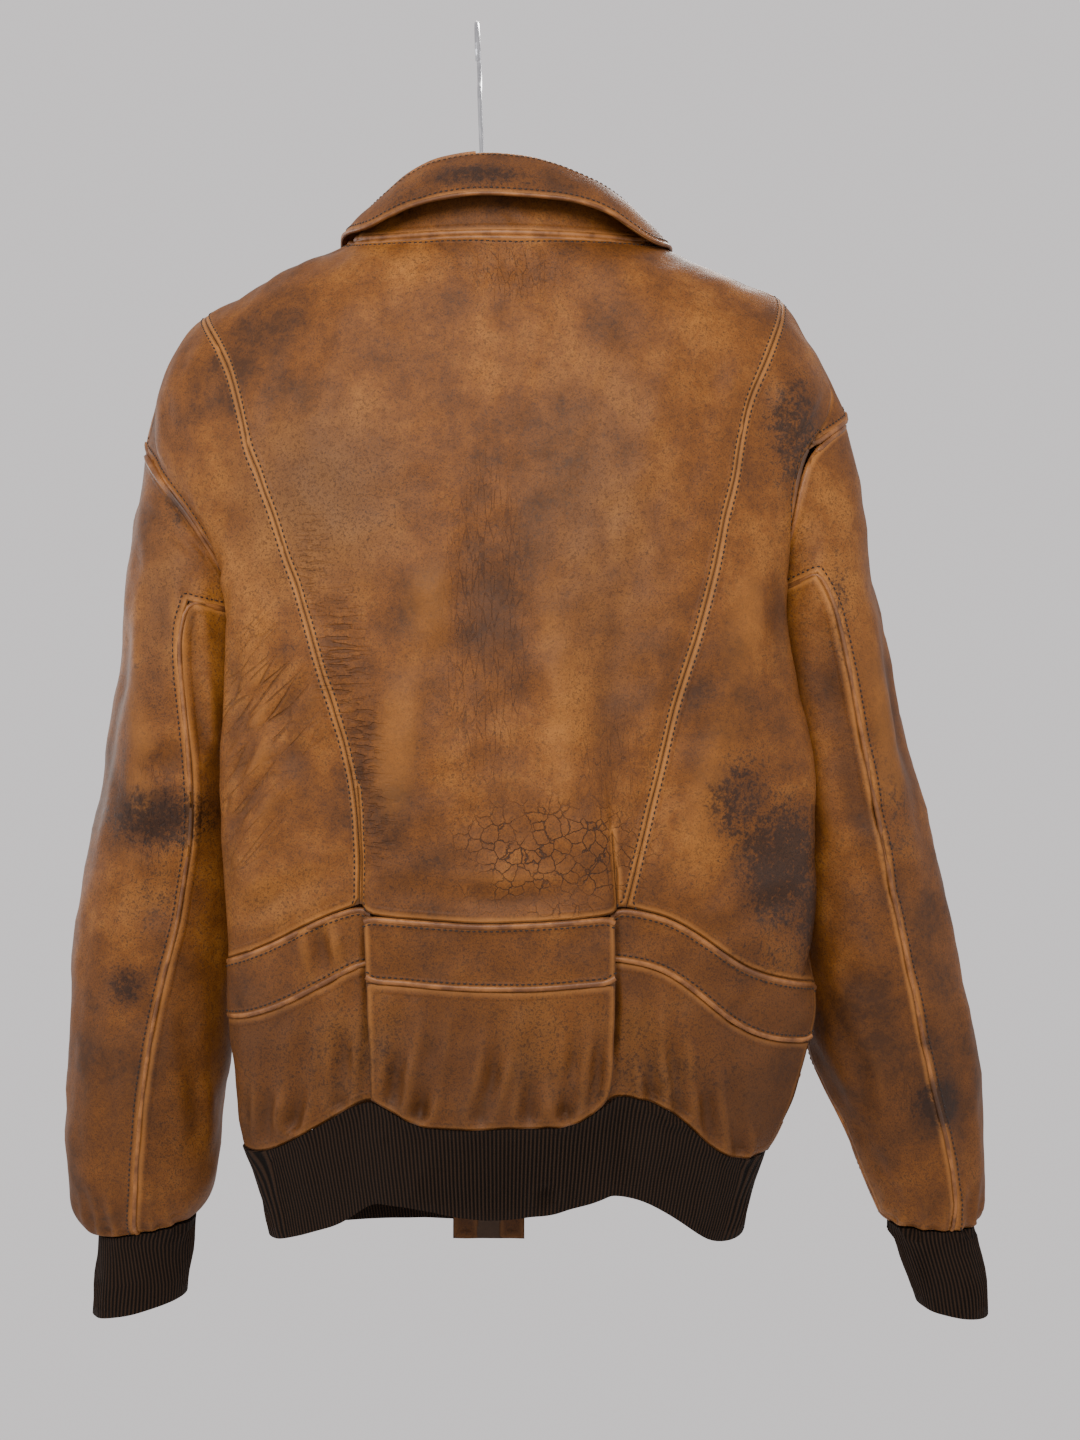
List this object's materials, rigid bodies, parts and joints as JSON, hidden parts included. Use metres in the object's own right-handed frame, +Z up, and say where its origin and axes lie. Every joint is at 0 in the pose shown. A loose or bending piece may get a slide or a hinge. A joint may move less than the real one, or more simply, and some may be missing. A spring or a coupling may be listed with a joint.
{
  "type": "leather jacket on hanger",
  "caption": "Worn tan leather flight jacket with a knitted waistband and cuffs, zipped at the front, hanging on a hanger with a steel hook, seen from its back.",
  "frame": {"origin": "inside top of the hanger's hook, where it hangs from a rail or peg", "axes": "+Z up, the jacket's back faces -Y and its closed front +Y"},
  "size_m": [0.7098, 0.2163, 0.9854],
  "materials": {
    "leather": "worn, softly creased",
    "rib_knit": "ribbed wool knit",
    "zip_tape": "woven tape with a closed metal chain",
    "zip_metal": "aged brass",
    "hanger_bar": "dark stained wood",
    "hook_steel": "polished steel wire"
  },
  "bodies": {
    "garment": {"back_centre": "leather", "side_back_left": "leather", "side_back_right": "leather", "belt_centre": "leather", "belt_left": "leather", "belt_right": "leather", "skirt_centre": "leather", "skirt_left": "leather", "skirt_right": "leather", "front_left": "leather", "front_right": "leather", "zip_tape": "zip_tape", "zip_slider": "zip_metal", "front_tab_left": "leather", "front_tab_right": "leather", "rib_waist": "rib_knit", "collar_stand": "leather", "collar_fall": "leather", "upper_sleeve_left": "leather", "upper_sleeve_right": "leather", "under_sleeve_left": "leather", "under_sleeve_right": "leather", "cuff_left": "rib_knit", "cuff_right": "rib_knit", "hanger_bar": "hanger_bar", "hanger_hook": "hook_steel"},
    "pull": {"zip_pull": "zip_metal"}
  },
  "joints": [
    {"name": "zip_pull_swing", "type": "hinge", "parent": "garment", "child": "pull", "pos_m": [0.006, 0.08621, -0.27474], "axis": [1, 0, 0], "range_deg": [0, 140]}
  ]
}
